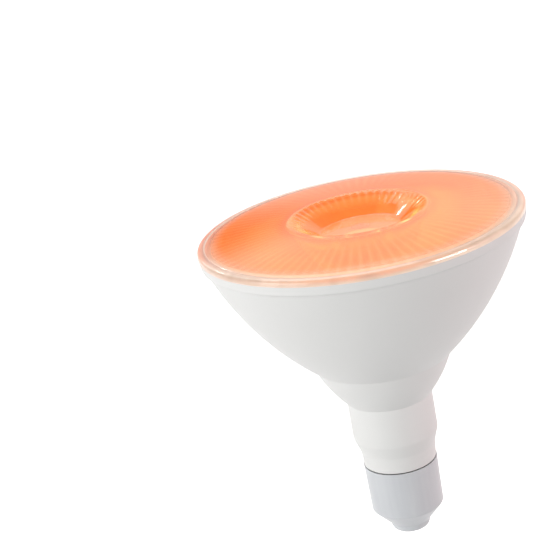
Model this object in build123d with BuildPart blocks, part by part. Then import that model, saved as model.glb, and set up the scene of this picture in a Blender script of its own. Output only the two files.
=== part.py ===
from build123d import *
from math import pi, sqrt
import os

os.makedirs("parts", exist_ok=True)

# Reflector lamp with a screw base. The axis is Z, the lens faces +Z and the
# origin is the tip of the centre contact. Sizes are in millimetres.

# Heights of the housing's stretches, from the screw base up
base_length = 27.8
collar_length = 6.2
shoulder_length = 5.3
neck_length = 15.4
funnel_length = 15.9
bowl_depth = 47.4
rim_band_height = 4.0
rim_roll_height = 1.2

# Outer radii of the housing at the ends of those stretches
collar_bottom_radius = 13.8
collar_top_radius = 14.4
neck_radius = 16.2
funnel_top_radius = 26.0
rim_radius = 60.4
rim_flare = 1.7
rim_draft = 0.4

# Swell of the curved stretches and rounds of the shoulder
funnel_bulge = 0.87
bowl_bulge = 3.6
shoulder_upper_round = 4.0
shoulder_lower_round = 3.0

# Housing walls, bores and guide rails
housing_wall = 1.8
spigot_wall = 1.4
spigot_gap = 3.35
collar_bore_wall = 1.7
collar_floor = 1.8
lens_bore_wall = 3.3
lens_bore_depth = 6.0
rail_thickness = 1.2
rail_depth = 2.5
rail_length = 14.0

# General fits
assembly_gap = 0.15
sheet_gap = 0.1

# Screw base
thread_crest_radius = 13.05
thread_depth = 0.75
thread_pitch = 3.629
thread_turns = 3.5
thread_foot_rise = 2.4
thread_half_width = 1.3
shell_sheet = 0.35
shell_bottom = 8.0
shell_lip = 1.0
insulator_tip_radius = 6.4
insulator_flange = 1.6
insulator_wall = 1.9
contact_radius = 5.0
contact_height = 1.9
contact_dome = 0.7
contact_stem_radius = 1.6
contact_stem_length = 4.6

# Push-on cap over the base
cap_wall = 0.45
cap_clearance = 0.3
cap_taper = 0.3
cap_top_gap = 0.4
cap_shoulder_height = 8.6
cap_cone_end_radius = 7.9
cap_cone_end_height = 2.0
cap_tip_radius = 7.0
cap_tip_drop = 1.3
cap_tip_round = 2.2
cap_shoulder_round = 0.8

# Front lens
lens_flange = 2.0
lens_edge_round = 0.6
lens_ridge_inset = 1.8
lens_ridge_rise = 0.85
lens_dome_rise = 2.85
lens_dome_bulge = 0.3
lens_face_thickness = 2.2
lens_skirt_wall = 1.4
lens_skirt_length = 4.6
crater_rim_radius = 24.7
crater_floor_radius = 15.2
crater_depth = 6.7
crater_floor_bulge = 0.5
crater_flute_count = 48
crater_flute_reach = 5.0
crater_flute_overrun = 1.2
crater_flute_share = 0.42
crater_flute_depth_ratio = 0.22
collector_top_radius = 26.5
collector_bottom_wall = 1.7
collector_bulge = 1.2
collector_cavity_radius = 8.1
collector_cavity_depth = 5.6
collector_cavity_dome = 2.4
optic_gap = 0.5
snap_count = 6
snap_angle = 14.0
snap_height = 0.5
snap_length = 1.6
snap_drop = 2.6

# Heat sink
cup_sheet = 1.2
cup_top_gap = 0.4
cup_bottom_rise = 3.4
cup_lip_radius = 19.0
plate_sheet = 1.5
plate_drop = 24.0
plate_flange_height = 8.0

# Light board and emitter
thermal_pad_thickness = 0.4
led_board_radius = 22.0
led_board_thickness = 1.6
screw_circle_radius = 17.5
screw_count = 3
screw_start_angle = 90
screw_diameter = 2.9
screw_head_diameter = 5.4
screw_head_height = 1.8
screw_clearance = 0.15
screw_length = 4.6
screw_slot = 0.6
led_side = 13.5
led_substrate_thickness = 1.2
led_dam_radius = 6.3
led_dam_wall = 0.9
led_dam_height = 0.7
led_dam_round = 0.22
led_gel_drop = 0.1
connector_width = 5.4
connector_depth = 4.0
connector_height = 3.0
connector_distance = 17.0

# Leads of the light board and the bush they pass through
lead_diameter = 1.3
lead_spacing = 1.9
lead_pass_distance = 27.5
lead_loop_rise = 4.4
lead_exit_drop = 4.0
lead_bend_share = 0.45
grommet_bore_radius = 1.9
grommet_wall = 0.9
grommet_flange = 1.0
grommet_flange_thickness = 0.8

# Driver board
board_thickness = 1.6
board_edge_gap = 0.3
board_tail_length = 18.7
board_top_gap = 6.0
part_gap = 0.1

fuse_radius = 1.7
fuse_length = 7.0
varistor_radius = 3.2
varistor_thickness = 3.0
film_width = 9.0
film_depth = 4.0
film_height = 8.0
film_round = 0.8
choke_radius = 3.2
choke_height = 6.4
choke_flange = 1.0
choke_neck_radius = 1.5
bridge_size = (4.7, 2.4, 3.9)
chip_size = (3.9, 1.5, 4.9)
chip_legs_per_side = 4
chip_leg_pitch = 1.27
chip_leg_width = 0.42
chip_leg_reach = 1.0
chip_leg_thickness = 0.25
diode_size = (6.0, 2.3, 7.0)
input_can_radius = 4.5
input_can_length = 14.0
output_can_radius = 3.6
output_can_length = 11.0
can_bead = 0.5
component_round = 0.6
package_chamfer = 0.25
core_width = 15.0
core_height = 14.0
core_depth = 4.4
core_leg = 4.2
core_side = 2.4
core_yoke = 2.4
bobbin_wall = 0.7
bobbin_flange = 1.0
bobbin_flange_reach = 5.4
winding_thickness = 1.9

# Mains leads
mains_lead_diameter = 1.1
mains_lead_bend = 1.8
live_bow = 1.8

# Stations along the axis
collar_top = base_length + collar_length
neck_bottom = collar_top + shoulder_length
neck_top = neck_bottom + neck_length
bowl_bottom = neck_top + funnel_length
bowl_top = bowl_bottom + bowl_depth
rim_top = bowl_top + rim_band_height
insulator_foot = shell_bottom + shell_sheet
insulator_top = insulator_foot + insulator_flange
spigot_bottom = insulator_top + spigot_gap
collar_ledge = base_length + collar_floor
neck_ledge = neck_bottom
lens_ledge = rim_top - lens_bore_depth
plate_bottom = rim_top - plate_drop
plate_top = plate_bottom + plate_sheet
pad_top = plate_top + thermal_pad_thickness
led_board_top = pad_top + led_board_thickness
substrate_top = led_board_top + led_substrate_thickness
dam_top = substrate_top + led_dam_height

# Fits between neighbours
bowl_top_radius = rim_radius - rim_flare
thread_root_radius = thread_crest_radius - thread_depth
shell_bore_radius = thread_root_radius - shell_sheet
spigot_radius = shell_bore_radius - assembly_gap
spigot_bore_radius = spigot_radius - spigot_wall
collar_bore_radius = collar_bottom_radius - collar_bore_wall
neck_bore_radius = neck_radius - housing_wall
lens_bore_radius = rim_radius - lens_bore_wall
cup_inset = housing_wall + assembly_gap
cup_face_inset = cup_inset + cup_sheet
plate_inset = cup_face_inset + sheet_gap


def bulged_arc(low, high, bulge):
    """Centre and radius of the arc from low to high that swells away from the axis."""
    chord = Vector(*high) - Vector(*low)
    radius = chord.length**2 / (8 * bulge) + bulge / 2
    middle = (Vector(*low) + Vector(*high)) * 0.5
    toward_axis = Vector(-chord.Y, chord.X).normalized()
    return middle + toward_axis * (radius - bulge), radius


def radius_at(arc, inset, height):
    """Radius from the lamp's axis of the arc moved in by inset, at a height."""
    centre, radius = arc
    return centre.X + sqrt((radius - inset) ** 2 - (height - centre.Y) ** 2)


def height_at(arc, inset, distance):
    """Height of the arc moved in by inset, at a distance from the lamp's axis."""
    centre, radius = arc
    return centre.Y - sqrt((radius - inset) ** 2 - (distance - centre.X) ** 2)


def wall_arc(arc, inset, start, end):
    """Three points of the arc moved in by inset, between two heights."""
    heights = (start, (start + end) / 2, end)
    return [(radius_at(arc, inset, height), height) for height in heights]


bowl_arc = bulged_arc((funnel_top_radius, bowl_bottom), (bowl_top_radius, bowl_top), bowl_bulge)
funnel_arc = bulged_arc((neck_radius, neck_top), (funnel_top_radius, bowl_bottom), funnel_bulge)
funnel_bore_start = height_at(funnel_arc, housing_wall, neck_bore_radius)
bowl_bore_start = bowl_bottom + housing_wall

# Housing: one moulded shell with collar, spigot and guide rails for the driver board
with BuildPart() as housing:
    with BuildSketch(Plane.XZ):
        with BuildLine():
            funnel_bore = ThreePointArc(*wall_arc(funnel_arc, housing_wall, funnel_bore_start, bowl_bottom))
            bowl_bore = ThreePointArc(*wall_arc(bowl_arc, housing_wall, bowl_bore_start, lens_ledge))
            Line(funnel_bore @ 1, bowl_bore @ 0)
            Polyline(
                bowl_bore @ 1,
                (lens_bore_radius, lens_ledge),
                (lens_bore_radius, rim_top),
                (rim_radius, rim_top),
            )
            rim_band = Line((rim_radius, rim_top), (rim_radius - rim_draft, bowl_top + rim_roll_height))
            TangentArc(rim_band @ 1, (bowl_top_radius, bowl_top), tangent=rim_band % 1)
            ThreePointArc(*wall_arc(bowl_arc, 0, bowl_top, bowl_bottom))
            ThreePointArc(*wall_arc(funnel_arc, 0, bowl_bottom, neck_top))
            FilletPolyline(
                (neck_radius, neck_top),
                (neck_radius, neck_bottom),
                (collar_top_radius, collar_top),
                (collar_bottom_radius, base_length),
                radius=[shoulder_upper_round, shoulder_lower_round],
            )
            Polyline(
                (collar_bottom_radius, base_length),
                (spigot_radius, base_length),
                (spigot_radius, spigot_bottom),
                (spigot_bore_radius, spigot_bottom),
                (spigot_bore_radius, collar_ledge),
                (collar_bore_radius, collar_ledge),
                (collar_bore_radius, neck_ledge),
                (neck_bore_radius, neck_ledge),
                funnel_bore @ 0,
            )
        make_face()
    revolve(axis=Axis.Z)
    # Groove in the lens bore for the snap bumps
    with BuildSketch(Plane.XZ):
        with Locations((lens_bore_radius, rim_top - snap_drop - snap_length / 2)):
            Rectangle(2 * (snap_height + assembly_gap), snap_length + 2 * assembly_gap)
    revolve(axis=Axis.Z, mode=Mode.SUBTRACT)
    # Four rails that hold the driver board's edges
    rail_outer = neck_bore_radius + housing_wall / 4
    rail_inner = neck_bore_radius - rail_depth
    rail_offset = board_thickness / 2 + assembly_gap + rail_thickness / 2
    with BuildSketch(Plane.XY.offset(neck_ledge)):
        with GridLocations(rail_outer + rail_inner, 2 * rail_offset, 2, 2):
            Rectangle(rail_outer - rail_inner, rail_thickness)
    extrude(amount=rail_length)

# Front lens: domed face, flange, skirt with snap bumps, fluted crater and collector cone
lens_radius = rim_radius
flange_top = rim_top + lens_flange
ridge_radius = lens_radius - lens_ridge_inset
ridge_height = flange_top + lens_ridge_rise
crater_top = ridge_height + lens_dome_rise
crater_floor = crater_top - crater_depth
skirt_radius = lens_bore_radius - assembly_gap
skirt_bore_radius = skirt_radius - lens_skirt_wall
skirt_bottom = rim_top - lens_skirt_length
collector_bottom = dam_top + optic_gap
collector_bottom_radius = collector_cavity_radius + collector_bottom_wall
cavity_wall_top = collector_bottom + collector_cavity_depth
cavity_top = cavity_wall_top + collector_cavity_dome
dome_arc = bulged_arc((ridge_radius, ridge_height), (crater_rim_radius, crater_top), lens_dome_bulge)


def under_face(distance):
    """Height of the lens face's underside at a distance from the axis."""
    centre, radius = dome_arc
    return centre.Y + sqrt((radius - lens_face_thickness) ** 2 - (distance - centre.X) ** 2)


under_edge = (skirt_bore_radius, under_face(skirt_bore_radius))
under_middle_radius = (skirt_bore_radius + collector_top_radius) / 2
under_middle = (under_middle_radius, under_face(under_middle_radius))
collector_top = (collector_top_radius, under_face(collector_top_radius))
wall_run = crater_rim_radius - crater_floor_radius
wall_length = sqrt(wall_run**2 + crater_depth**2)
wall_direction = Vector(wall_run, 0, crater_depth) / wall_length
wall_outward = Vector(-crater_depth, 0, wall_run) / wall_length
flute_half_width = crater_flute_share * 2 * pi * crater_rim_radius / crater_flute_count
flute_depth = crater_flute_depth_ratio * flute_half_width
flute_radius = (flute_half_width**2 + flute_depth**2) / (2 * flute_depth)
flute_length = crater_flute_reach * wall_length / wall_run


def flute_station(distance):
    """Point on a flute's axis and its radius, at a distance down the wall from the crater's rim."""
    on_wall = Vector(crater_rim_radius, 0, crater_top) - wall_direction * distance
    radius = flute_radius * on_wall.X / crater_rim_radius
    depth = flute_depth * (1 - distance / flute_length)
    return on_wall + wall_outward * (radius - depth), radius


flute_mouth, flute_mouth_radius = flute_station(-crater_flute_overrun)
flute_foot, flute_foot_radius = flute_station(flute_length + crater_flute_overrun)
flute_plane = Plane(origin=flute_foot, x_dir=(0, 1, 0), z_dir=flute_mouth - flute_foot)

with BuildPart() as front_lens:
    with BuildSketch(Plane.XZ):
        with BuildLine():
            TangentArc(
                (0, crater_floor + crater_floor_bulge),
                (crater_floor_radius, crater_floor),
                tangent=(1, 0),
            )
            Line((crater_floor_radius, crater_floor), (crater_rim_radius, crater_top))
            SagittaArc((crater_rim_radius, crater_top), (ridge_radius, ridge_height), lens_dome_bulge)
            FilletPolyline(
                (ridge_radius, ridge_height),
                (lens_radius, flange_top),
                (lens_radius, rim_top),
                radius=[lens_edge_round],
            )
            Polyline(
                (lens_radius, rim_top),
                (skirt_radius, rim_top),
                (skirt_radius, skirt_bottom),
                (skirt_bore_radius, skirt_bottom),
                under_edge,
            )
            ThreePointArc(under_edge, under_middle, collector_top)
            SagittaArc(collector_top, (collector_bottom_radius, collector_bottom), collector_bulge)
            Polyline(
                (collector_bottom_radius, collector_bottom),
                (collector_cavity_radius, collector_bottom),
                (collector_cavity_radius, cavity_wall_top),
            )
            TangentArc((0, cavity_top), (collector_cavity_radius, cavity_wall_top), tangent=(1, 0))
            Line((0, cavity_top), (0, crater_floor + crater_floor_bulge))
        make_face()
    revolve(axis=Axis.Z)
    # Flutes on the crater's wall, each wide at the rim and running out half way down
    with BuildSketch(flute_plane) as flute_foot_circle:
        Circle(flute_foot_radius)
    with BuildSketch(flute_plane.offset((flute_mouth - flute_foot).length)) as flute_mouth_circle:
        Circle(flute_mouth_radius)
    flute = loft([flute_foot_circle.sketch.face(), flute_mouth_circle.sketch.face()], mode=Mode.PRIVATE)
    with PolarLocations(0, crater_flute_count):
        add(flute, mode=Mode.SUBTRACT)
    # Snap bumps on the skirt
    with BuildSketch(Plane.XZ) as snap_profile:
        with BuildLine():
            Polyline(
                (skirt_radius - lens_skirt_wall / 2, rim_top - snap_drop),
                (skirt_radius + snap_height, rim_top - snap_drop),
                (skirt_radius, rim_top - snap_drop - snap_length),
                (skirt_radius - lens_skirt_wall / 2, rim_top - snap_drop - snap_length),
                close=True,
            )
        make_face()
    bump = revolve(snap_profile.sketch.face(), axis=Axis.Z, revolution_arc=snap_angle, mode=Mode.PRIVATE)
    with PolarLocations(0, snap_count):
        add(bump)

# Heat sink cup: drawn sheet that lines the bowl
cup_top = lens_ledge - cup_top_gap
cup_bottom = bowl_bottom + cup_bottom_rise
cup_floor = cup_bottom + cup_sheet
with BuildPart() as heat_sink_cup:
    with BuildSketch(Plane.XZ):
        with BuildLine():
            cup_back = ThreePointArc(*wall_arc(bowl_arc, cup_inset, cup_bottom, cup_top))
            cup_front = ThreePointArc(*wall_arc(bowl_arc, cup_face_inset, cup_top, cup_floor))
            Line(cup_back @ 1, cup_front @ 0)
            Polyline(
                cup_front @ 1,
                (cup_lip_radius, cup_floor),
                (cup_lip_radius, cup_bottom),
                cup_back @ 0,
            )
        make_face()
    revolve(axis=Axis.Z)

# Heat sink plate: tray whose flange wedges in the cup
flange_end = plate_bottom + plate_flange_height
grommet_hole_radius = grommet_bore_radius + grommet_wall
with BuildPart() as heat_sink_plate:
    with BuildSketch(Plane.XZ):
        with BuildLine():
            plate_back = ThreePointArc(*wall_arc(bowl_arc, plate_inset, plate_bottom, flange_end))
            plate_front = ThreePointArc(*wall_arc(bowl_arc, plate_inset + plate_sheet, flange_end, plate_top))
            Line(plate_back @ 1, plate_front @ 0)
            Polyline(plate_front @ 1, (0, plate_top), (0, plate_bottom), plate_back @ 0)
        make_face()
    revolve(axis=Axis.Z)
    with BuildSketch(Plane.XY.offset(plate_bottom)):
        with PolarLocations(screw_circle_radius, screw_count, start_angle=screw_start_angle):
            Circle(screw_diameter / 2 + screw_clearance / 2)
        with Locations((0, -lead_pass_distance)):
            Circle(grommet_hole_radius)
    extrude(amount=plate_sheet, mode=Mode.SUBTRACT)

# Light board stack
screw_hole_radius = screw_diameter / 2 + screw_clearance
with BuildPart() as thermal_pad:
    with BuildSketch(Plane.XY.offset(plate_top)):
        Circle(led_board_radius)
        with PolarLocations(screw_circle_radius, screw_count, start_angle=screw_start_angle):
            Circle(screw_hole_radius, mode=Mode.SUBTRACT)
    extrude(amount=thermal_pad_thickness)

with BuildPart() as led_board:
    with BuildSketch(Plane.XY.offset(pad_top)):
        Circle(led_board_radius)
        with PolarLocations(screw_circle_radius, screw_count, start_angle=screw_start_angle):
            Circle(screw_hole_radius, mode=Mode.SUBTRACT)
    extrude(amount=led_board_thickness)

with BuildPart() as led_substrate:
    with BuildSketch(Plane.XY.offset(led_board_top)):
        RectangleRounded(led_side, led_side, led_dam_wall)
    extrude(amount=led_substrate_thickness)

with BuildPart() as led_dam:
    with BuildSketch(Plane.XY.offset(substrate_top)):
        Circle(led_dam_radius)
        Circle(led_dam_radius - led_dam_wall, mode=Mode.SUBTRACT)
    extrude(amount=led_dam_height)
    fillet(led_dam.faces().sort_by(Axis.Z)[-1].edges(), led_dam_round)

with BuildPart() as led_gel:
    with BuildSketch(Plane.XY.offset(substrate_top)):
        Circle(led_dam_radius - led_dam_wall)
    extrude(amount=led_dam_height - led_dam_round - led_gel_drop)

with BuildPart() as board_screws:
    with BuildSketch(Plane.XY.offset(led_board_top - screw_length)):
        with PolarLocations(screw_circle_radius, screw_count, start_angle=screw_start_angle):
            Circle(screw_diameter / 2)
    extrude(amount=screw_length)
    with BuildSketch(Plane.XY.offset(led_board_top)):
        with PolarLocations(screw_circle_radius, screw_count, start_angle=screw_start_angle):
            Circle(screw_head_diameter / 2)
    extrude(amount=screw_head_height)
    fillet(board_screws.edges().group_by(Axis.Z)[-1], screw_head_height / 2)
    with BuildSketch(Plane.XY.offset(led_board_top + screw_head_height)):
        with PolarLocations(screw_circle_radius, screw_count, start_angle=screw_start_angle):
            Rectangle(screw_slot, screw_head_diameter / 2)
            Rectangle(screw_head_diameter / 2, screw_slot)
    extrude(amount=-screw_head_height / 2, mode=Mode.SUBTRACT)

connector_top = led_board_top + connector_height
with BuildPart() as board_connector:
    with BuildSketch(Plane.XY.offset(led_board_top)):
        with Locations((0, -connector_distance)):
            Rectangle(connector_width, connector_depth)
    extrude(amount=connector_height)
    chamfer(board_connector.faces().sort_by(Axis.Z)[-1].edges(), package_chamfer)

# Bush in the plate and the two leads that loop from it to the connector
grommet_outer_radius = grommet_hole_radius + grommet_flange
with BuildPart() as lead_grommet:
    with BuildSketch(Plane.XY.offset(plate_bottom - grommet_flange_thickness)):
        with Locations((0, -lead_pass_distance)):
            Circle(grommet_outer_radius)
    extrude(amount=grommet_flange_thickness)
    with BuildSketch(Plane.XY.offset(plate_bottom)):
        with Locations((0, -lead_pass_distance)):
            Circle(grommet_hole_radius)
    extrude(amount=plate_sheet)
    with BuildSketch(Plane.XY.offset(plate_top)):
        with Locations((0, -lead_pass_distance)):
            Circle(grommet_outer_radius)
    extrude(amount=grommet_flange_thickness)
    with BuildSketch(Plane.XY.offset(plate_bottom - grommet_flange_thickness)):
        with Locations((0, -lead_pass_distance)):
            Circle(grommet_bore_radius)
    extrude(amount=plate_sheet + 2 * grommet_flange_thickness, mode=Mode.SUBTRACT)

board_top = plate_bottom - board_top_gap
loop_span = lead_pass_distance - connector_distance


def wire(points, bends, diameter):
    """Round lead along straight runs joined by tangent arcs."""
    with BuildPart() as lead:
        with BuildLine() as route:
            FilletPolyline(*points, radius=bends)
        with BuildSketch(Plane(origin=route.line @ 0, z_dir=route.line % 0)):
            Circle(diameter / 2)
        sweep()
    return lead


def light_lead(side):
    """Lead from the driver board's back, through the bush, to the top of the connector."""
    x = side * lead_spacing / 2
    loop_top = connector_top + lead_loop_rise
    pad_height = board_top - lead_exit_drop
    points = [
        (x, -board_thickness / 2, pad_height),
        (x, -lead_pass_distance, pad_height),
        (x, -lead_pass_distance, loop_top),
        (x, -connector_distance, loop_top),
        (x, -connector_distance, connector_top),
    ]
    loop_bend = lead_bend_share * min(loop_span, 2 * lead_loop_rise)
    return wire(points, [lead_exit_drop, loop_bend, loop_bend], lead_diameter)


lead_positive = light_lead(1)
lead_negative = light_lead(-1)

# Driver board, stepped to pass the spigot
board_half_width = neck_bore_radius - board_edge_gap
tail_half_width = spigot_bore_radius - board_edge_gap
tail_bottom = neck_ledge - board_tail_length
with BuildPart() as driver_board:
    with BuildSketch(Plane.XZ.offset(-board_thickness / 2)):
        with BuildLine():
            Polyline(
                (-tail_half_width, tail_bottom),
                (tail_half_width, tail_bottom),
                (tail_half_width, neck_ledge),
                (board_half_width, neck_ledge),
                (board_half_width, board_top),
                (-board_half_width, board_top),
                (-board_half_width, neck_ledge),
                (-tail_half_width, neck_ledge),
                close=True,
            )
        make_face()
    extrude(amount=board_thickness)

board_front = board_thickness / 2 + part_gap
board_back = -board_front

# Mains side parts on the board's tail and in the neck
tail_middle = (tail_bottom + neck_ledge) / 2
with BuildPart() as fuse_resistor:
    with Locations((2 * fuse_radius, board_front + fuse_radius, tail_middle)):
        Cylinder(fuse_radius, fuse_length)
    fillet(fuse_resistor.edges().filter_by(GeomType.CIRCLE), component_round)

with BuildPart() as varistor:
    with BuildSketch(Plane.XZ.offset(-board_front)):
        with Locations((-varistor_radius - part_gap, tail_middle)):
            Circle(varistor_radius)
    extrude(amount=-varistor_thickness)
    fillet(varistor.edges().filter_by(GeomType.CIRCLE), component_round)

film_bottom = neck_ledge + film_round
with BuildPart() as film_capacitor:
    with Locations((-film_width / 2 - part_gap, board_front + film_depth / 2, film_bottom + film_height / 2)):
        Box(film_width, film_depth, film_height)
    fillet(film_capacitor.edges(), film_round)

choke_x = choke_radius + 2 * choke_flange
choke_z = neck_ledge + choke_radius + choke_flange
with BuildPart() as choke_core:
    with BuildSketch(Plane.XZ.offset(-board_front)):
        with Locations((choke_x, choke_z)):
            Circle(choke_radius)
    extrude(amount=-choke_height)
    with BuildSketch(Plane.XZ.offset(-board_front - choke_flange)):
        with Locations((choke_x, choke_z)):
            Circle(choke_radius)
            Circle(choke_neck_radius, mode=Mode.SUBTRACT)
    extrude(amount=-(choke_height - 2 * choke_flange), mode=Mode.SUBTRACT)

with BuildPart() as choke_winding:
    with BuildSketch(Plane.XZ.offset(-board_front - choke_flange)):
        with Locations((choke_x, choke_z)):
            Circle(choke_radius - sheet_gap)
            Circle(choke_neck_radius, mode=Mode.SUBTRACT)
    extrude(amount=-(choke_height - 2 * choke_flange))

# Flat parts on the board's back
bridge_z = neck_ledge + bridge_size[2]
with BuildPart() as bridge_rectifier:
    with Locations((0, board_back - bridge_size[1] / 2, bridge_z)):
        Box(*bridge_size)
    chamfer(bridge_rectifier.faces().sort_by(Axis.Y)[0].edges(), package_chamfer)

chip_z = bridge_z + bridge_size[2] + chip_size[2]
with BuildPart() as controller_chip:
    with Locations((0, board_back - chip_size[1] / 2, chip_z)):
        Box(*chip_size)
    chamfer(controller_chip.faces().sort_by(Axis.Y)[0].edges(), package_chamfer)
    leg_span = chip_size[0] + chip_leg_reach
    with BuildSketch(Plane.XZ.offset(-board_back)):
        with Locations((0, chip_z)):
            with GridLocations(leg_span, chip_leg_pitch, 2, chip_legs_per_side):
                Rectangle(chip_leg_reach * 2, chip_leg_width)
    extrude(amount=chip_leg_thickness)

diode_z = chip_z + chip_size[2] + diode_size[2]
with BuildPart() as output_diode:
    with Locations((0, board_back - diode_size[1] / 2, diode_z)):
        Box(*diode_size)
    chamfer(output_diode.faces().sort_by(Axis.Y)[0].edges(), package_chamfer)

# Electrolytic cans lie along the board
can_bottom = film_bottom + film_height + 2 * film_round


def can(x, radius, length):
    """Rounded can with a bead near its foot."""
    bead_height = can_bottom + length / 6
    with BuildPart() as body:
        with Locations((x, board_front + radius, can_bottom + length / 2)):
            Cylinder(radius, length)
        fillet(body.edges().filter_by(GeomType.CIRCLE), component_round)
        with Locations((x, board_front + radius, bead_height)):
            Torus(radius, can_bead / 2, mode=Mode.SUBTRACT)
    return body


input_capacitor = can(-input_can_radius - part_gap, input_can_radius, input_can_length)
output_capacitor = can(output_can_radius + part_gap, output_can_radius, output_can_length)

# Transformer: framed core with a wound bobbin on its middle leg
transformer_bottom = can_bottom + input_can_length + bobbin_flange
transformer_z = transformer_bottom + core_height / 2
transformer_y = board_front + bobbin_flange_reach
window_height = core_height - 2 * core_yoke
leg_radius = core_leg / 2
with BuildPart() as transformer_core:
    with BuildSketch(Plane.XZ.offset(-transformer_y + core_depth / 2)):
        with Locations((0, transformer_z)):
            Rectangle(core_width, core_height)
            Rectangle(core_width - 2 * core_side, window_height, mode=Mode.SUBTRACT)
    extrude(amount=-core_depth)
    with BuildSketch(Plane.XY.offset(transformer_z - core_height / 2 + core_yoke)):
        with Locations((0, transformer_y)):
            Circle(leg_radius)
    extrude(amount=window_height)

sleeve_bore = leg_radius + sheet_gap
sleeve_radius = sleeve_bore + bobbin_wall
bobbin_bottom = transformer_z - window_height / 2 + sheet_gap
bobbin_height = window_height - 2 * sheet_gap
flange_half_width = core_width / 2 - core_side - sheet_gap
with BuildPart() as transformer_bobbin:
    with BuildSketch(Plane.XY.offset(bobbin_bottom)):
        with Locations((0, transformer_y)):
            Circle(sleeve_radius)
    extrude(amount=bobbin_height)
    for bobbin_end in (bobbin_bottom, bobbin_bottom + bobbin_height - bobbin_flange):
        with BuildSketch(Plane.XY.offset(bobbin_end)):
            with Locations((0, transformer_y)):
                Rectangle(2 * flange_half_width, 2 * bobbin_flange_reach)
        extrude(amount=bobbin_flange)
    with BuildSketch(Plane.XY.offset(bobbin_bottom)):
        with Locations((0, transformer_y)):
            Circle(sleeve_bore)
    extrude(amount=bobbin_height, mode=Mode.SUBTRACT)

with BuildPart() as transformer_winding:
    with BuildSketch(Plane.XY.offset(bobbin_bottom + bobbin_flange)):
        with Locations((0, transformer_y)):
            Circle(sleeve_radius + winding_thickness)
            Circle(sleeve_radius, mode=Mode.SUBTRACT)
    extrude(amount=bobbin_height - 2 * bobbin_flange)

# Screw base: rolled sheet shell, insulator and riveted centre contact
shell_lip_radius = thread_root_radius - shell_lip
thread_foot = shell_bottom + shell_sheet + thread_foot_rise
with BuildPart() as base_shell:
    with BuildSketch(Plane.XZ):
        with BuildLine():
            Polyline(
                (shell_bore_radius, base_length),
                (thread_root_radius, base_length),
                (thread_root_radius, shell_bottom + shell_sheet),
                (thread_root_radius - shell_sheet, shell_bottom),
                (shell_lip_radius, shell_bottom),
                (shell_lip_radius, shell_bottom + shell_sheet),
                (shell_bore_radius, shell_bottom + shell_sheet),
                close=True,
            )
        make_face()
    revolve(axis=Axis.Z)
    # The rolled thread stands out of the sheet and leaves its groove inside
    with BuildLine() as thread_path:
        Helix(thread_pitch, thread_turns * thread_pitch, thread_root_radius, center=(0, 0, thread_foot))
    thread_plane = Plane(origin=thread_path.line @ 0, x_dir=(1, 0, 0), z_dir=thread_path.line % 0)
    groove_half_width = thread_half_width - shell_sheet / 2
    rolls = ((0, thread_half_width, Mode.ADD), (shell_sheet, groove_half_width, Mode.SUBTRACT))
    for inset, half_width, roll_mode in rolls:
        with BuildSketch(thread_plane) as roll:
            with BuildLine():
                Polyline(
                    (-inset, half_width),
                    (-inset - shell_sheet / 2, half_width),
                    (-inset - shell_sheet / 2, -half_width),
                    (-inset, -half_width),
                )
                ThreePointArc((-inset, -half_width), (thread_depth - inset, 0), (-inset, half_width))
            make_face()
        sweep(roll.sketch.faces(), path=thread_path.line, is_frenet=True, mode=roll_mode)

insulator_flange_radius = shell_bore_radius - sheet_gap
insulator_cone_radius = shell_lip_radius - sheet_gap
stem_hole_radius = contact_stem_radius + sheet_gap
insulator_bore_radius = insulator_flange_radius - insulator_wall
insulator_floor = contact_height + insulator_wall
insulator_floor_radius = insulator_tip_radius - insulator_wall / 2
with BuildPart() as base_insulator:
    with BuildSketch(Plane.XZ):
        with BuildLine():
            Polyline(
                (stem_hole_radius, contact_height),
                (insulator_tip_radius, contact_height),
                (insulator_cone_radius, shell_bottom),
                (insulator_cone_radius, insulator_foot),
                (insulator_flange_radius, insulator_foot),
                (insulator_flange_radius, insulator_top),
                (insulator_bore_radius, insulator_top),
                (insulator_floor_radius, insulator_floor),
                (stem_hole_radius, insulator_floor),
                close=True,
            )
        make_face()
    revolve(axis=Axis.Z)

stem_top = contact_height + contact_stem_length
with BuildPart() as centre_contact:
    with BuildSketch(Plane.XZ):
        with BuildLine():
            TangentArc((0, 0), (contact_radius, contact_dome), tangent=(1, 0))
            Polyline(
                (contact_radius, contact_dome),
                (contact_radius, contact_height),
                (contact_stem_radius, contact_height),
                (contact_stem_radius, stem_top),
                (0, stem_top),
                (0, 0),
            )
        make_face()
    revolve(axis=Axis.Z)

# Mains leads from the board's tail to the contact's stem and to the shell
lead_drop = tail_bottom - stem_top
live_points = [
    (0, 0, tail_bottom),
    (0, 0, tail_bottom - lead_drop / 4),
    (live_bow, 0, tail_bottom - lead_drop / 2),
    (0, 0, stem_top + lead_drop / 4),
    (0, 0, stem_top),
]
live_lead = wire(live_points, [mains_lead_bend] * 3, mains_lead_diameter)

neutral_x = -tail_half_width + 2 * mains_lead_diameter
neutral_z = (insulator_top + spigot_bottom) / 2
shell_touch = sqrt(shell_bore_radius**2 - mains_lead_diameter**2 / 4) - sheet_gap / 2
neutral_points = [
    (neutral_x, 0, tail_bottom),
    (neutral_x, 0, neutral_z),
    (-shell_touch, 0, neutral_z),
]
neutral_lead = wire(neutral_points, [mains_lead_bend], mains_lead_diameter)

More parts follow.
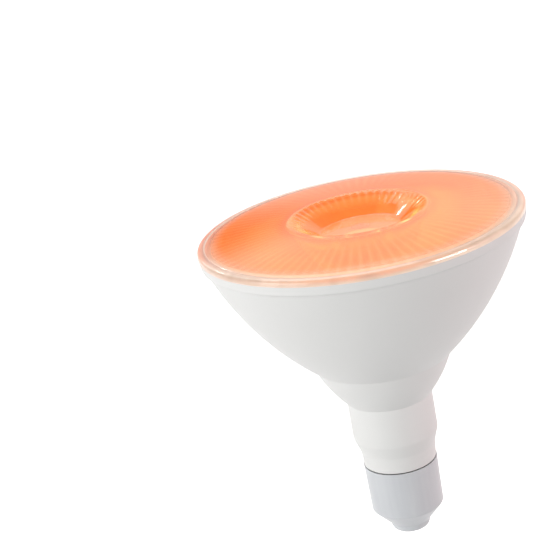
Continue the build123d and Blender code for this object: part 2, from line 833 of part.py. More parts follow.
# Push-on cap: thin moulded cup, tapered over the thread and coned over the insulator
cap_bottom_radius = thread_crest_radius + cap_clearance + cap_wall
cap_top_radius = cap_bottom_radius + cap_taper
cap_top = base_length - cap_top_gap
with BuildPart() as base_cap:
    with BuildSketch(Plane.XZ):
        with BuildLine():
            FilletPolyline(
                (0, -cap_tip_drop),
                (cap_tip_radius, -cap_tip_drop),
                (cap_cone_end_radius, cap_cone_end_height),
                (cap_bottom_radius, cap_shoulder_height),
                (cap_top_radius, cap_top),
                radius=[cap_tip_round, cap_shoulder_round, cap_shoulder_round],
            )
            offset(amount=cap_wall, side=Side.LEFT)
        make_face()
    revolve(axis=Axis.Z)

pieces = {
    "housing": housing,
    "front_lens": front_lens,
    "heat_sink_cup": heat_sink_cup,
    "heat_sink_plate": heat_sink_plate,
    "thermal_pad": thermal_pad,
    "led_board": led_board,
    "led_substrate": led_substrate,
    "led_dam": led_dam,
    "led_gel": led_gel,
    "board_screws": board_screws,
    "board_connector": board_connector,
    "lead_grommet": lead_grommet,
    "lead_positive": lead_positive,
    "lead_negative": lead_negative,
    "driver_board": driver_board,
    "fuse_resistor": fuse_resistor,
    "varistor": varistor,
    "film_capacitor": film_capacitor,
    "choke_core": choke_core,
    "choke_winding": choke_winding,
    "bridge_rectifier": bridge_rectifier,
    "controller_chip": controller_chip,
    "output_diode": output_diode,
    "input_capacitor": input_capacitor,
    "output_capacitor": output_capacitor,
    "transformer_core": transformer_core,
    "transformer_bobbin": transformer_bobbin,
    "transformer_winding": transformer_winding,
    "base_shell": base_shell,
    "base_insulator": base_insulator,
    "centre_contact": centre_contact,
    "live_lead": live_lead,
    "neutral_lead": neutral_lead,
    "base_cap": base_cap,
}
for name, piece in pieces.items():
    piece.part.label = name
    export_step(piece.part, f"parts/{name}.step")
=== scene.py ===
import math

import bpy
from mathutils import Matrix, Vector


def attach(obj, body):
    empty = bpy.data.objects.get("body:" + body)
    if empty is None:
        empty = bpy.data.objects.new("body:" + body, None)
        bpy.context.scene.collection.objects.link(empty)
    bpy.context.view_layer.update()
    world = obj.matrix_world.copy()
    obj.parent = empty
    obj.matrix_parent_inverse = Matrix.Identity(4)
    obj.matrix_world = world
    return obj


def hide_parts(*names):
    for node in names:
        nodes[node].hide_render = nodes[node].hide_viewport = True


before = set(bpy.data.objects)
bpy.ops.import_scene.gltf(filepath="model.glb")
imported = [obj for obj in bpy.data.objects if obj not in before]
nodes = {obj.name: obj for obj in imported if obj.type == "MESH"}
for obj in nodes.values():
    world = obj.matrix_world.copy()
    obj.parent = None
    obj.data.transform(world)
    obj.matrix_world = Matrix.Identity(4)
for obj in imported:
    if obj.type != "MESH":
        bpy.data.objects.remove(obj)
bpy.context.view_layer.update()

MM = 0.001


class Signal:
    """A socket in a node tree. Arithmetic on signals adds Math nodes."""

    def __init__(self, tree, socket=None):
        self.tree = tree
        self.socket = socket

    def node(self, kind, settings=None, inputs=None, output=0):
        """Adds a node, sets it up, feeds its sockets and gives one of its outputs."""
        made = self.tree.nodes.new(kind)
        for name, value in (settings or {}).items():
            setattr(made, name, value)
        for key, value in (inputs or {}).items():
            if isinstance(value, Signal):
                self.tree.links.new(value.socket, made.inputs[key])
            else:
                made.inputs[key].default_value = value
        return Signal(self.tree, made.outputs[output] if made.outputs else None)

    def also(self, output):
        """Another output of the same node."""
        return Signal(self.tree, self.socket.node.outputs[output])

    def math(self, operation, *values):
        return self.node("ShaderNodeMath", {"operation": operation}, dict(enumerate(values)))

    def __add__(self, other):
        return self.math("ADD", self, other)

    __radd__ = __add__

    def __sub__(self, other):
        return self.math("SUBTRACT", self, other)

    def __rsub__(self, other):
        return self.math("SUBTRACT", other, self)

    def __mul__(self, other):
        return self.math("MULTIPLY", self, other)

    __rmul__ = __mul__

    def __truediv__(self, other):
        return self.math("DIVIDE", self, other)

    def __rtruediv__(self, other):
        return self.math("DIVIDE", other, self)

    def __pow__(self, power):
        return self.math("POWER", self, power)

    def __abs__(self):
        return self.math("ABSOLUTE", self)

    def between(self, low, high):
        """0 below low, 1 above high, with a soft step between."""
        return self.node(
            "ShaderNodeMapRange",
            {"interpolation_type": "SMOOTHSTEP"},
            {"Value": self, "From Min": low, "From Max": high},
        )


# Profiles, as points of distance from the axis and height in millimetres

def arc(start, end, swell, steps):
    """Points from start up to, but without, end, on an arc that swells to the left of the way."""
    (r0, z0), (r1, z1) = start, end
    if not swell:
        return [(r0 + (r1 - r0) * i / steps, z0 + (z1 - z0) * i / steps) for i in range(steps)]
    chord = math.hypot(r1 - r0, z1 - z0)
    radius = chord**2 / (8 * swell) + swell / 2
    ahead = ((r1 - r0) / chord, (z1 - z0) / chord)
    left = (-ahead[1], ahead[0])
    centre = ((r0 + r1) / 2 - left[0] * (radius - swell), (z0 + z1) / 2 - left[1] * (radius - swell))
    half = math.asin(chord / 2 / radius)
    points = []
    for i in range(steps):
        turn = half - 2 * half * i / steps
        out = math.cos(turn) * radius
        along = -math.sin(turn) * radius
        points.append((
            centre[0] + left[0] * out + ahead[0] * along,
            centre[1] + left[1] * out + ahead[1] * along,
        ))
    return points


def rounded(profile, rounds, steps=4):
    """The profile with the named corners rounded. rounds maps a corner to its radius."""
    softened = []
    for i, (point, stretch) in enumerate(profile):
        radius = rounds.get(point)
        if not radius:
            softened.append((point, stretch))
            continue
        corner = Vector(point)
        before = (Vector(profile[i - 1][0]) - corner).normalized()
        after = (Vector(profile[i + 1][0]) - corner).normalized()
        half = before.angle(after) / 2
        reach = radius / math.tan(half)
        centre = corner + (before + after).normalized() * (radius / math.sin(half))
        first = corner + before * reach - centre
        last = corner + after * reach - centre
        for k in range(steps + 1):
            spoke = first.slerp(last, k / steps).normalized() * radius
            softened.append((tuple(centre + spoke), stretch))
    return softened


def ramp(value, low, high):
    """0 up to low, 1 from high on, and a straight rise between."""
    return min(1.0, max(0.0, (value - low) / (high - low)))


# Turned pieces

MERGE_DISTANCE = 0.002 * MM
CREASE_ANGLE = math.radians(35)
STREAK_SHARPNESS = 1.4


def turning_tree():
    """Turns a profile round the lamp's axis and presses ribs and flutes where it asks for them.

    The profile's depth attribute holds the ribs' depth, the flutes' depth and the strength of the
    painted light streaks along them.
    """
    tree = bpy.data.node_groups.new("turned_piece", "GeometryNodeTree")
    for name, kind in (
        ("Profile", "NodeSocketGeometry"),
        ("Steps", "NodeSocketInt"),
        ("Ribs", "NodeSocketInt"),
        ("Flutes", "NodeSocketInt"),
        ("Crease angle", "NodeSocketFloat"),
        ("Finish", "NodeSocketMaterial"),
    ):
        tree.interface.new_socket(name=name, in_out="INPUT", socket_type=kind)
    tree.interface.new_socket(name="Piece", in_out="OUTPUT", socket_type="NodeSocketGeometry")
    start = Signal(tree)
    profile = start.node("NodeGroupInput", output="Profile")
    steps = profile.also("Steps")
    stations = start.node("GeometryNodeAttributeDomainSize", {"component": "MESH"}, {"Geometry": profile})
    rows = steps + 1
    sheet = start.node("GeometryNodeMeshGrid", {}, {"Vertices X": stations, "Vertices Y": rows})
    index = start.node("GeometryNodeInputIndex")
    station = start.math("FLOOR", index / rows)
    angle = (index - station * rows) * (2 * math.pi / steps)

    def at_station(value):
        return start.node(
            "GeometryNodeSampleIndex",
            {"data_type": "FLOAT_VECTOR", "domain": "POINT"},
            {"Geometry": profile, "Value": value, "Index": station},
        )

    def stored(name):
        return start.node("GeometryNodeInputNamedAttribute", {"data_type": "FLOAT_VECTOR"}, {"Name": name})

    def lobes(count):
        return abs(start.math("COSINE", angle * count / 2))

    depth = start.node("ShaderNodeSeparateXYZ", {}, {0: at_station(stored("depth"))})
    ribs, flutes = lobes(profile.also("Ribs")), lobes(profile.also("Flutes"))
    press = depth * ribs + depth.also("Y") * flutes
    unfluted = start.math("COMPARE", depth.also("Y"), 0.0, 0.0)
    painted_streak = depth.also("Z") * (1 - flutes + (flutes - ribs) * unfluted) ** STREAK_SHARPNESS
    place = at_station(start.node("GeometryNodeInputPosition"))
    pressed = start.node(
        "ShaderNodeVectorMath",
        {"operation": "MULTIPLY_ADD"},
        {0: at_station(stored("outward")), 1: press, 2: place},
    )
    turned = start.node(
        "ShaderNodeVectorRotate", {"rotation_type": "Z_AXIS"}, {"Vector": pressed, "Angle": angle}
    )
    piece = sheet
    for name, kind, value in (
        ("painted_streak", "FLOAT", painted_streak),
        ("glow", "FLOAT_VECTOR", at_station(stored("glow"))),
    ):
        piece = start.node(
            "GeometryNodeStoreNamedAttribute",
            {"data_type": kind, "domain": "POINT"},
            {"Geometry": piece, "Name": name, "Value": value},
        )
    piece = start.node("GeometryNodeSetPosition", {}, {"Geometry": piece, "Position": turned})
    piece = start.node("GeometryNodeMergeByDistance", {}, {"Geometry": piece, "Distance": MERGE_DISTANCE})
    piece = start.node("GeometryNodeSetShadeSmooth", {"domain": "FACE"}, {0: piece, "Shade Smooth": True})
    edge_angle = start.node("GeometryNodeInputMeshEdgeAngle")
    crease = start.math("GREATER_THAN", edge_angle, profile.also("Crease angle"))
    piece = start.node(
        "GeometryNodeSetShadeSmooth",
        {"domain": "EDGE"},
        {0: piece, "Selection": crease, "Shade Smooth": False},
    )
    piece = start.node("GeometryNodeRealizeInstances", {}, {0: piece})
    piece = start.node("GeometryNodeSetMaterial", {}, {0: piece, "Material": profile.also("Finish")})
    start.node("NodeGroupOutput", {}, {"Piece": piece})
    return tree


def turned_piece(name, tree, profile, material, steps, ribs, flutes, depths, glows):
    """A piece turned from its profile, which runs out along the top, down the outside and back inside."""
    count = len(profile)
    outward = []
    for i in range(count):
        (r0, z0), (r1, z1) = profile[max(i - 1, 0)], profile[min(i + 1, count - 1)]
        outward.append(Vector((z0 - z1, 0, r1 - r0)).normalized())
    line = bpy.data.meshes.new(name)
    line.from_pydata([(r * MM, 0, z * MM) for r, z in profile], [(i, i + 1) for i in range(count - 1)], [])
    for label, values in (("outward", outward), ("depth", depths), ("glow", glows)):
        layer = line.attributes.new(label, "FLOAT_VECTOR", "POINT")
        layer.data.foreach_set("vector", [c for v in values for c in v])
    piece = bpy.data.objects.new(name, line)
    bpy.context.scene.collection.objects.link(piece)
    turning = piece.modifiers.new("turning", "NODES")
    turning.node_group = tree
    given = {
        "Steps": steps, "Ribs": ribs, "Flutes": flutes, "Crease angle": CREASE_ANGLE, "Finish": material,
    }
    for item in tree.interface.items_tree:
        if item.in_out == "INPUT" and item.name in given:
            turning[item.identifier] = given[item.name]
    solid = bpy.data.meshes.new_from_object(piece.evaluated_get(bpy.context.evaluated_depsgraph_get()))
    piece.modifiers.remove(turning)
    piece.data = solid
    bpy.data.meshes.remove(line)
    return piece


# Finishes

def finish(name, recipe, **constants):
    """A material whose recipe, given Object coordinates, returns what varies over the surface."""
    material = bpy.data.materials.new(name)
    material.use_nodes = True
    material.node_tree.nodes.clear()
    start = Signal(material.node_tree)
    place = start.node("ShaderNodeTexCoord", output="Object")
    fixed = {key.replace("_", " "): value for key, value in constants.items()}
    shader = start.node("ShaderNodeBsdfPrincipled", {}, {**fixed, **recipe(place)})
    start.node("ShaderNodeOutputMaterial", {}, {"Surface": shader})
    return material


def grain(place, size, detail=2.0):
    """Even noise whose grains are about size millimetres across."""
    scale = 1 / (size * MM)
    return place.node("ShaderNodeTexNoise", {}, {"Vector": place, "Scale": scale, "Detail": detail})


def stretched(place, scale):
    """Coordinates squeezed along each axis, for streaks and lines."""
    return place.node("ShaderNodeMapping", {}, {"Vector": place, "Scale": scale})


def mixed(factor, low, high):
    """Colour from low to high by the factor, where either may be a signal."""
    return factor.node("ShaderNodeMix", {"data_type": "RGBA"}, {0: factor, 6: low, 7: high}, output=2)


def tone(factor, low, high):
    """Colour from one fixed colour to another by the factor."""
    return mixed(factor, (*low, 1), (*high, 1))


def spread(factor, low, high):
    """Number from low to high by the factor."""
    return low + (high - low) * factor


def blend(first, second, share):
    """The first signal by its share, and the second by the rest."""
    return share * first + (1 - share) * second


def relief(height, depth):
    """Normal of a surface with this height, depth millimetres from low to high."""
    return height.node("ShaderNodeBump", {}, {"Height": height, "Distance": depth * MM, "Strength": 1.0})


def distance_from(across, along):
    """Distance from the origin of two coordinates."""
    return (across * across + along * along) ** 0.5


def from_axis(place):
    """Distance from the lamp's axis, in metres."""
    split = place.node("ShaderNodeSeparateXYZ", {}, {0: place})
    return distance_from(split, split.also("Y"))


# DEEP_AMBER and PALE_AMBER colour the painted glow of the emitter's light on the pieces round it,
# STREAK_LIGHT the painted light streaks on the lens; FACE_TINT and EDGE_TINT are the lens's tints
DEEP_AMBER, PALE_AMBER = (0.93, 0.17, 0.028), (1.0, 0.36, 0.13)
FACE_TINT, EDGE_TINT = (1.0, 0.42, 0.125), (0.58, 0.57, 0.54)
STREAK_LIGHT = (0.60, 0.33, 0.23)

# Radii on the lens, in millimetres, between which its face turns into its polished edge
EDGE_START, COAT_START, EDGE_END = 50, 55, 58
EDGE_ROUGHNESS, EDGE_COAT = 0.26, 0.7

# Radii on the heat sink, in millimetres, between which its painted glow turns paler
SHEET_DEEP, SHEET_PALE = 20, 62

# How far roughness varies over small pieces and over rolled sheet, and how much wider drift is than grain
ROUGH_RANGE, ROLLED_RANGE, DRIFT_WIDTH = 0.15, 0.16, 18


def housing_white(place):
    drift = grain(place, size=30)
    speck = grain(place, size=0.5)
    cloud = blend(drift, speck, share=0.7)
    return {
        "Base Color": tone(cloud, low=(0.80, 0.80, 0.785), high=(0.85, 0.85, 0.84)),
        "Roughness": spread(speck, low=0.40, high=0.54),
        "Normal": relief(speck, depth=0.02),
    }


def milky_white(place):
    drift = grain(stretched(place, scale=(1, 1, 0.25)), size=9)
    drawn = grain(stretched(place, scale=(1, 1, 0.06)), size=1.8)
    speck = grain(place, size=0.7)
    milk = blend(drift, drawn, share=0.6)
    return {
        "Base Color": tone(milk, low=(0.575, 0.59, 0.625), high=(0.715, 0.735, 0.75)),
        "Roughness": spread(drift, low=0.24, high=0.36) + spread(drawn, low=0.0, high=0.1),
        "Normal": relief(speck, depth=0.008),
    }


def clear_plastic(place):
    painted_streak = place.node("ShaderNodeAttribute", {"attribute_name": "painted_streak"}, output="Fac")
    glow = place.node("ShaderNodeAttribute", {"attribute_name": "glow"}, output="Vector")
    radius = from_axis(place)
    on_edge = radius.between(EDGE_START * MM, EDGE_END * MM)
    lively = spread(grain(place, size=7), low=0.75, high=1.25)
    face = place.node("ShaderNodeVectorMath", {"operation": "SCALE"}, {0: glow, "Scale": lively})
    return {
        "Base Color": tone(on_edge, FACE_TINT, EDGE_TINT),
        "Roughness": spread(grain(place, size=14), low=0.05, high=0.11) + EDGE_ROUGHNESS * on_edge,
        "Coat Weight": EDGE_COAT * radius.between(COAT_START * MM, EDGE_END * MM),
        # Emission paints light on the lens: the emitter's amber glow through it and light streaks along
        # its ribs and flutes
        "Emission Color": mixed(painted_streak, face, (*STREAK_LIGHT, 1)),
    }


# The heat sink's emission is painted light: the emitter's amber glow on it, paler outward
def lit_sheet(place):
    drawn = grain(stretched(place, scale=(1, 1, 6)), size=4)
    fine = grain(stretched(place, scale=(1, 1, 12)), size=0.6)
    outward = from_axis(place).between(SHEET_DEEP * MM, SHEET_PALE * MM)
    glow = spread(drawn, low=-0.25, high=0.25) + spread(outward, low=0.35, high=0.65)
    return {
        "Base Color": tone(fine, low=(0.74, 0.74, 0.75), high=(0.86, 0.86, 0.86)),
        "Roughness": spread(fine, low=0.28, high=0.48),
        "Normal": relief(fine, depth=0.006),
        "Emission Color": tone(glow, DEEP_AMBER, PALE_AMBER),
    }


def lit(colour, shade, size, rough):
    """Recipe for a pale piece at the emitter, with an amber glow: the emitter's own light on the gel, and
    painted light on the pieces round it.
    """

    def recipe(place):
        speck = grain(place, size)
        drift = grain(place, size=12)
        return {
            "Base Color": tone(speck, shade, colour),
            "Roughness": spread(speck, rough, rough + ROUGH_RANGE),
            "Normal": relief(speck, depth=0.006),
            "Emission Color": tone(drift, DEEP_AMBER, PALE_AMBER),
        }

    return recipe


def moulded(colour, shade, size, rough):
    """Recipe for a moulded, dipped or sintered piece with an even grain and a wider drift."""

    def recipe(place):
        speck = grain(place, size)
        drift = grain(place, size * DRIFT_WIDTH)
        return {
            "Base Color": tone(blend(speck, drift, share=0.5), shade, colour),
            "Roughness": spread(speck, rough - ROUGH_RANGE / 2, rough + ROUGH_RANGE / 2),
            "Normal": relief(speck, depth=0.01),
        }

    return recipe


def plated(colour, shade, rough):
    """Recipe for plated sheet with fine lines from its rolling, round the axis."""

    def recipe(place):
        lines = grain(stretched(place, scale=(0.6, 0.6, 14)), size=3.5, detail=4)
        stain = grain(place, size=5)
        return {
            "Base Color": tone(stain, shade, colour),
            "Roughness": spread(lines, rough, rough + ROLLED_RANGE) + spread(stain, low=-0.04, high=0.04),
            "Normal": relief(lines, depth=0.006),
        }

    return recipe


def wound(colour, groove_shade, pitch):
    """Recipe for a winding whose turns lie side by side along the lamp's axis, a pitch apart, with painted
    shade in the grooves between them.
    """

    def recipe(place):
        height = place.node("ShaderNodeSeparateXYZ", {}, {0: place}).also("Z")
        turn = abs(height.math("SINE", height * (math.pi / (pitch * MM))))
        speck = grain(place, size=0.6)
        crown = turn.between(low=0.05, high=0.5) * spread(speck, low=0.85, high=1.0)
        return {
            "Base Color": tone(crown, groove_shade, colour),
            "Roughness": spread(turn, low=0.42, high=0.30),
            "Normal": relief(turn, depth=0.12),
        }

    return recipe


# Finish, colour, shade, grain in millimetres and roughness of each moulded piece
MOULDED = {
    "thermal_pad": ("grey_pad", (0.52, 0.53, 0.55), (0.44, 0.45, 0.47), 0.5, 0.6),
    "board_connector": ("black_connector", (0.07, 0.07, 0.075), (0.04, 0.04, 0.042), 0.35, 0.45),
    "lead_grommet": ("black_bush_rubber", (0.06, 0.06, 0.06), (0.035, 0.035, 0.035), 0.3, 0.7),
    "lead_positive": ("red_lead_insulation", (0.62, 0.06, 0.05), (0.5, 0.045, 0.04), 0.6, 0.35),
    "lead_negative": ("black_lead_insulation", (0.05, 0.05, 0.055), (0.03, 0.03, 0.033), 0.6, 0.35),
    "live_lead": ("red_mains_insulation", (0.58, 0.06, 0.05), (0.48, 0.045, 0.04), 0.6, 0.38),
    "neutral_lead": ("white_mains_insulation", (0.86, 0.86, 0.84), (0.78, 0.78, 0.76), 0.6, 0.38),
    "driver_board": ("green_board_mask", (0.07, 0.30, 0.15), (0.05, 0.22, 0.11), 0.5, 0.35),
    "fuse_resistor": ("green_fuse_coating", (0.33, 0.52, 0.37), (0.26, 0.43, 0.30), 0.4, 0.6),
    "varistor": ("blue_disc_coating", (0.10, 0.22, 0.56), (0.07, 0.16, 0.45), 0.5, 0.4),
    "film_capacitor": ("brown_dipped_coating", (0.46, 0.13, 0.07), (0.36, 0.09, 0.05), 0.6, 0.25),
    "choke_core": ("dark_ferrite", (0.17, 0.17, 0.18), (0.11, 0.11, 0.12), 0.25, 0.55),
    "bridge_rectifier": ("black_bridge_case", (0.065, 0.065, 0.07), (0.04, 0.04, 0.045), 0.25, 0.5),
    "controller_chip": ("black_chip_case", (0.06, 0.06, 0.065), (0.035, 0.035, 0.04), 0.2, 0.5),
    "output_diode": ("black_diode_case", (0.065, 0.065, 0.07), (0.04, 0.04, 0.045), 0.25, 0.5),
    "input_capacitor": ("dark_can_sleeve", (0.05, 0.06, 0.11), (0.035, 0.04, 0.08), 0.8, 0.3),
    "output_capacitor": ("dark_small_can_sleeve", (0.05, 0.06, 0.11), (0.035, 0.04, 0.08), 0.8, 0.3),
    "transformer_core": ("grey_ferrite", (0.19, 0.19, 0.20), (0.13, 0.13, 0.14), 0.25, 0.5),
    "transformer_bobbin": ("black_bobbin", (0.06, 0.06, 0.065), (0.04, 0.04, 0.042), 0.35, 0.45),
    "base_insulator": ("black_glass_insulator", (0.05, 0.05, 0.055), (0.03, 0.03, 0.034), 0.8, 0.2),
}
# The same of each piece at the emitter, and the strength of its glow: on the gel the emitter's own light,
# on the others the emitter's light painted on
LIT = {
    "led_board": ("white_board_mask", (0.92, 0.92, 0.90), (0.86, 0.86, 0.84), 0.4, 0.35, 0.1),
    "led_substrate": ("white_ceramic_carrier", (0.93, 0.92, 0.88), (0.88, 0.87, 0.83), 0.3, 0.4, 0.15),
    "led_dam": ("white_silicone_ring", (0.93, 0.93, 0.91), (0.88, 0.88, 0.86), 0.5, 0.35, 0.15),
    "led_gel": ("amber_gel_lit", (1.0, 0.5, 0.14), (0.95, 0.4, 0.08), 0.25, 0.15, 1.2),
}
# Finish, colour, shade and roughness of each plated piece
PLATED = {
    "board_screws": ("plated_screws", (0.72, 0.71, 0.70), (0.62, 0.61, 0.60), 0.25),
    "base_shell": ("nickel_plated_shell", (0.56, 0.55, 0.53), (0.44, 0.43, 0.41), 0.14),
    "centre_contact": ("plated_contact", (0.60, 0.57, 0.50), (0.48, 0.45, 0.39), 0.22),
}
# The heat sink's emission strength, for its painted glow
LIT_METAL = {"Metallic": 1.0, "Emission_Strength": 0.07}

copper = wound((0.74, 0.40, 0.21), (0.30, 0.12, 0.05), pitch=0.45)
tape = wound((0.86, 0.70, 0.14), (0.62, 0.46, 0.07), pitch=1.6)
finishes = {
    "housing": finish("white_moulded_housing", housing_white),
    "base_cap": finish("milky_moulded_cap", milky_white),
    "heat_sink_cup": finish("drawn_aluminium_lit", lit_sheet, **LIT_METAL),
    "heat_sink_plate": finish("stamped_aluminium_lit", lit_sheet, **LIT_METAL),
    "choke_winding": finish("copper_choke_turns", copper, Metallic=1.0),
    "transformer_winding": finish("yellow_tape_turns", tape),
}
for node, (name, *look) in MOULDED.items():
    finishes[node] = finish(name, moulded(*look))
for node, (name, *look, strength) in LIT.items():
    finishes[node] = finish(name, lit(*look), Emission_Strength=strength)
for node, (name, *look) in PLATED.items():
    finishes[node] = finish(name, plated(*look), Metallic=1.0)
for node, material in finishes.items():
    slots = nodes[node].data.materials
    slots.clear()
    slots.append(material)
lens_clear = finish(
    "clear_lens_plastic", clear_plastic,
    IOR=1.49, Transmission_Weight=1.0, Emission_Strength=1.0, Coat_Roughness=0.05,
)

# Front lens, in millimetres

FLANGE_RADIUS, RIM_TOP, FLANGE_TOP = 60.4, 122.0, 124.0
FACE_EDGE, GROOVE, RIDGE = (56.9, 124.4), (57.25, 124.18), (57.8, 124.38)
CRATER_MIDDLE, CRATER_FOOT, CRATER_RIM_RADIUS = (0.0, 121.5), (15.2, 121.0), 24.7
WALL_TOP, DOME_START = (23.17, 126.62), (26.57, 127.57)
SKIRT_RADIUS, SKIRT_BORE, SKIRT_FOOT = 56.95, 55.55, 117.4
UNDER_EDGE = (SKIRT_BORE, 122.92)
COLLECTOR_TOP, COLLECTOR_FOOT = (26.5, 125.37), (9.8, 103.9)
CAVITY_RADIUS, CAVITY_SHOULDER, CAVITY_TOP = 8.1, 109.5, 111.9
FLOOR_SWELL, RIM_SWELL, DOME_SWELL = 0.13, 0.31, 0.28
UNDER_SWELL, COLLECTOR_SWELL, CAVITY_SWELL = -0.22, 1.2, -0.6
FOOT_ROUND, RIDGE_ROUND, FLANGE_ROUND = 2.2, 0.45, 1.4
TURN_STEPS = 672

# Ribs under the face fade out at the skirt, and their painted light streaks fade in away from the crater
RIB_COUNT, RIB_DEPTH, RIB_FADE = 84, 0.012, 1.5
RIB_STREAK, STREAK_START, STREAK_FULL = 0.8, 30, 44

# Flutes deepen up the crater's wall and fade out over its rim, and so do the painted light streaks along
# them
FLUTE_COUNT, FLUTE_DEPTH, FLUTE_REACH = 48, 0.34, 5.0
FLUTE_END, FLUTE_FADE = 25.2, 2
FLUTE_STREAK = 0.40

flange_edge = (FLANGE_RADIUS, FLANGE_TOP)
flange_foot = (FLANGE_RADIUS, RIM_TOP)
skirt_root = (SKIRT_RADIUS, RIM_TOP)
cavity_shoulder = (CAVITY_RADIUS, CAVITY_SHOULDER)
cavity_middle = (0.0, CAVITY_TOP)
stretches = [
    ("floor", arc(CRATER_MIDDLE, CRATER_FOOT, FLOOR_SWELL, steps=6)),
    ("wall", arc(CRATER_FOOT, WALL_TOP, swell=0, steps=10)),
    ("rim", arc(WALL_TOP, DOME_START, RIM_SWELL, steps=10)),
    ("dome", arc(DOME_START, FACE_EDGE, DOME_SWELL, steps=16)),
    ("groove", [FACE_EDGE, GROOVE]),
    ("ridge", [RIDGE]),
    ("flange", [flange_edge, flange_foot]),
    ("seat", arc(flange_foot, skirt_root, swell=0, steps=3)[1:]),
    ("skirt", [skirt_root, (SKIRT_RADIUS, SKIRT_FOOT), (SKIRT_BORE, SKIRT_FOOT), UNDER_EDGE]),
    ("under", arc(UNDER_EDGE, COLLECTOR_TOP, UNDER_SWELL, steps=48)[1:]),
    ("collector", arc(COLLECTOR_TOP, COLLECTOR_FOOT, COLLECTOR_SWELL, steps=14)),
    ("cavity", [COLLECTOR_FOOT, (CAVITY_RADIUS, COLLECTOR_FOOT[1])]),
    ("cavity", arc(cavity_shoulder, cavity_middle, CAVITY_SWELL, steps=6) + [cavity_middle]),
]
outline = rounded(
    [(point, stretch) for stretch, points in stretches for point in points],
    {CRATER_FOOT: FOOT_ROUND, RIDGE: RIDGE_ROUND, flange_edge: FLANGE_ROUND},
)

# Painted glow that each stretch of the lens gives off: the emitter's amber light seen through it, and
# painted pale light along its groove, ridge and edge. A pair of colours grades between a pair of radii.
UNLIT = (0.0, 0.0, 0.0)
GLOW = {
    "floor": (0.25, 0.125, 0.065),
    "rim": UNLIT,
    "dome": UNLIT,
    "groove": (0.26, 0.16, 0.11),
    "ridge": (0.15, 0.12, 0.10),
    "flange": (0.37, 0.25, 0.19),
    "seat": (0.27, 0.20, 0.155),
    "skirt": (0.12, 0.09, 0.07),
    "cavity": (0.20, 0.06, 0.012),
}
GRADED_GLOW = {
    "wall": ((0.24, 0.055, 0.008), (0.20, 0.075, 0.025), (19.4, 23.4)),
    "collector": ((0.20, 0.06, 0.012), (0.32, 0.14, 0.06), (23.6, 25.0)),
    "under": ((0.45, 0.155, 0.045), (0.38, 0.195, 0.095), (40, 53)),
}
# Share of the painted glow under the face where it meets the crater, and the radius where all of it is
# there
CRATER_SHARE, CRATER_CLEAR = 0.25, 31.0


def lens_depth(r, stretch):
    """Depth of the ribs and of the flutes at a point of the lens profile, and the strength of its painted
    light streaks.
    """
    if stretch == "under":
        depth = RIB_DEPTH * ramp(SKIRT_BORE - r, 0, RIB_FADE)
        return Vector((depth * MM, 0.0, RIB_STREAK * ramp(r, STREAK_START, STREAK_FULL)))
    if stretch in ("wall", "rim"):
        rise = ramp(r, CRATER_RIM_RADIUS - FLUTE_REACH, CRATER_RIM_RADIUS)
        press = rise * ramp(FLUTE_END - r, 0, FLUTE_FADE)
        return Vector((0.0, -FLUTE_DEPTH * press * MM, FLUTE_STREAK * press))
    return Vector()


def lens_glow(r, stretch):
    """Colour of the painted glow that a point of the lens profile gives off."""
    if stretch not in GRADED_GLOW:
        return Vector(GLOW[stretch])
    low, high, radii = GRADED_GLOW[stretch]
    glow = Vector(low).lerp(Vector(high), ramp(r, *radii))
    if stretch == "under":
        glow *= spread(ramp(r, COLLECTOR_TOP[0], CRATER_CLEAR), CRATER_SHARE, 1.0)
    return glow


front_lens = turned_piece(
    "clear_front_lens", turning_tree(), [point for point, stretch in outline], lens_clear, TURN_STEPS,
    ribs=RIB_COUNT, flutes=FLUTE_COUNT,
    depths=[lens_depth(point[0], stretch) for point, stretch in outline],
    glows=[lens_glow(point[0], stretch) for point, stretch in outline],
)
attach(front_lens, "lamp")
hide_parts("front_lens")

# Floor, light and camera, in metres

FLOOR_HEIGHT, FLOOR_REACH, FLOOR_LIGHT = -0.0435, 10.0, 0.62
WALL_REACH, WALL_STEPS, WALL_LIGHT = 9.0, 48, 1.1
WORLD_LIGHT = 0.55
WHITE, BLACK = (1, 1, 1, 1), (0, 0, 0, 1)

# The panel stands behind the lamp and shows only in reflections. It has a dark spot and a dimmer foot.
PANEL_AWAY, PANEL_LEFT, PANEL_RIGHT, PANEL_TOP = 1.6, -1.7, 1.5, 1.4
PANEL_DARK, PANEL_LIGHT = (1.1, 0.05, 0.0), (1.4, 1.32, 1.24)
SPOT_ACROSS, SPOT_HEIGHT, SPOT_CORE, SPOT_EDGE = -0.50, 0.49, 0.17, 0.50
FOOT_SHARE, FOOT_START, FOOT_END = 0.45, 0.25, 0.9


def stage_sheet(name, corners, material):
    """A sheet of the studio along pairs of corners, which isn't part of the lamp."""
    mesh = bpy.data.meshes.new(name)
    mesh.from_pydata(corners, [], [(i, i + 1, i + 3, i + 2) for i in range(0, len(corners) - 2, 2)])
    mesh.materials.append(material)
    sheet = bpy.data.objects.new(name, mesh)
    bpy.context.scene.collection.objects.link(sheet)
    sheet.visible_diffuse = False
    return sheet


def pale_grey(place):
    return {"Base Color": tone(grain(place, size=90), low=(0.88, 0.88, 0.88), high=(0.92, 0.92, 0.92))}


def panel_shade(place):
    split = place.node("ShaderNodeSeparateXYZ", {}, {0: place})
    height = split.also("Z")
    away = distance_from(split - SPOT_ACROSS, height - SPOT_HEIGHT)
    raised = spread(height.between(FOOT_START, FOOT_END), FOOT_SHARE, 1.0)
    return {"Emission Color": tone(away.between(SPOT_CORE, SPOT_EDGE) * raised, PANEL_DARK, PANEL_LIGHT)}


def even_white(place):
    return {"Emission Color": tone(grain(place, size=900), low=(1, 1, 1), high=(0.97, 0.97, 0.97))}


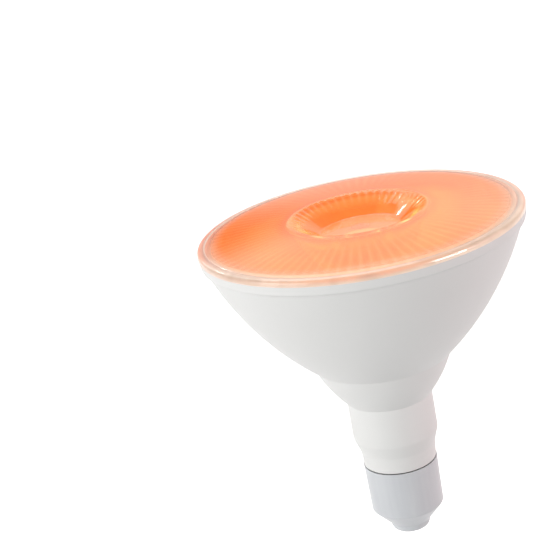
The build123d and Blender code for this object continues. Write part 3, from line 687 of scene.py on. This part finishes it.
stage_sheet(
    "floor",
    [(x * FLOOR_REACH, y * FLOOR_REACH, FLOOR_HEIGHT) for x, y in ((-1, -1), (-1, 1), (1, -1), (1, 1))],
    finish("pale_floor", pale_grey, Roughness=0.8, Emission_Color=WHITE, Emission_Strength=FLOOR_LIGHT),
)
panel = stage_sheet(
    "reflection_panel",
    [(x, PANEL_AWAY, z) for x in (PANEL_LEFT, PANEL_RIGHT) for z in (0, PANEL_TOP)],
    finish("shaded_panel", panel_shade, Base_Color=BLACK, Roughness=1.0, Emission_Strength=1.0),
)
panel.visible_camera = panel.visible_transmission = panel.visible_shadow = False
wall_angles = [2 * math.pi * step / WALL_STEPS for step in range(WALL_STEPS + 1)]
wall = stage_sheet(
    "studio_wall",
    [
        (WALL_REACH * math.cos(angle), WALL_REACH * math.sin(angle), z)
        for angle in wall_angles for z in (FLOOR_HEIGHT, WALL_REACH)
    ],
    finish("white_wall", even_white, Base_Color=BLACK, Roughness=1.0, Emission_Strength=WALL_LIGHT),
)
wall.visible_glossy = wall.visible_transmission = wall.visible_shadow = False


def softbox(name, place, aim, size, power, colour=(1, 1, 1), card=False):
    """A rectangular studio light at a place, turned toward its aim. A card shows in reflections alone."""
    light = bpy.data.lights.new(name, "AREA")
    light.shape = "RECTANGLE"
    light.size, light.size_y = size
    light.energy = power
    light.color = colour
    box = bpy.data.objects.new(name, light)
    box.location = place
    box.rotation_euler = (Vector(aim) - Vector(place)).to_track_quat("-Z", "Y").to_euler()
    box.visible_diffuse = box.visible_transmission = not card
    bpy.context.scene.collection.objects.link(box)


LAMP_MIDDLE, LENS_MIDDLE = (0, 0, 0.08), (0, 0, 0.125)
DAYLIGHT, ROSE = (1.0, 1.0, 0.985), (1.0, 0.57, 0.60)
softbox("key_left", (-1.15, -0.62, 0.4), LAMP_MIDDLE, size=(1.0, 1.0), power=9.3, colour=DAYLIGHT)
softbox("fill_right", (1.3, -0.05, 0.45), LAMP_MIDDLE, size=(0.9, 0.9), power=4.3, colour=ROSE)
softbox("fill_front", (0.2, -1.6, 0.6), LAMP_MIDDLE, size=(1.2, 0.9), power=0.9)
softbox("overhead_card", (-0.28, 0.92, 1.3), LAMP_MIDDLE, size=(1.0, 0.75), power=4.5, card=True)
softbox("glint_card", (-0.81, 1.09, 0.95), LENS_MIDDLE, size=(0.16, 0.16), power=1.2, card=True)
softbox("edge_card", (1.0, -0.67, 0.4), LENS_MIDDLE, size=(0.55, 0.7), power=17.0, card=True)

world = bpy.data.worlds.new("studio")
world.use_nodes = True
world.node_tree.nodes["Background"].inputs["Color"].default_value = WHITE
world.node_tree.nodes["Background"].inputs["Strength"].default_value = WORLD_LIGHT
bpy.context.scene.world = world

CAMERA_PLACE = (0, -0.554, 0.296)
YAW, PITCH, ROLL = (math.radians(angle) for angle in (-3.757, 18.259, -11.035))
SENSOR_WIDTH, FOCAL_PIXELS, FRAME_PIXELS = 36.0, 1589, 533
ahead = Vector((math.sin(YAW) * math.cos(PITCH), math.cos(YAW) * math.cos(PITCH), -math.sin(PITCH)))
level = Vector((math.cos(YAW), -math.sin(YAW), 0))
upright = level.cross(ahead)
right = level * math.cos(ROLL) + upright * math.sin(ROLL)
up = upright * math.cos(ROLL) - level * math.sin(ROLL)
optics = bpy.data.cameras.new("camera")
optics.sensor_width = SENSOR_WIDTH
optics.lens = SENSOR_WIDTH * FOCAL_PIXELS / FRAME_PIXELS
optics.clip_start, optics.clip_end = 0.02, 60
camera = bpy.data.objects.new("camera", optics)
turn = Matrix((right, up, -ahead)).transposed().to_4x4()
camera.matrix_world = Matrix.Translation(CAMERA_PLACE) @ turn
bpy.context.scene.collection.objects.link(camera)
bpy.context.scene.camera = camera
bpy.context.scene.view_settings.view_transform = "Standard"
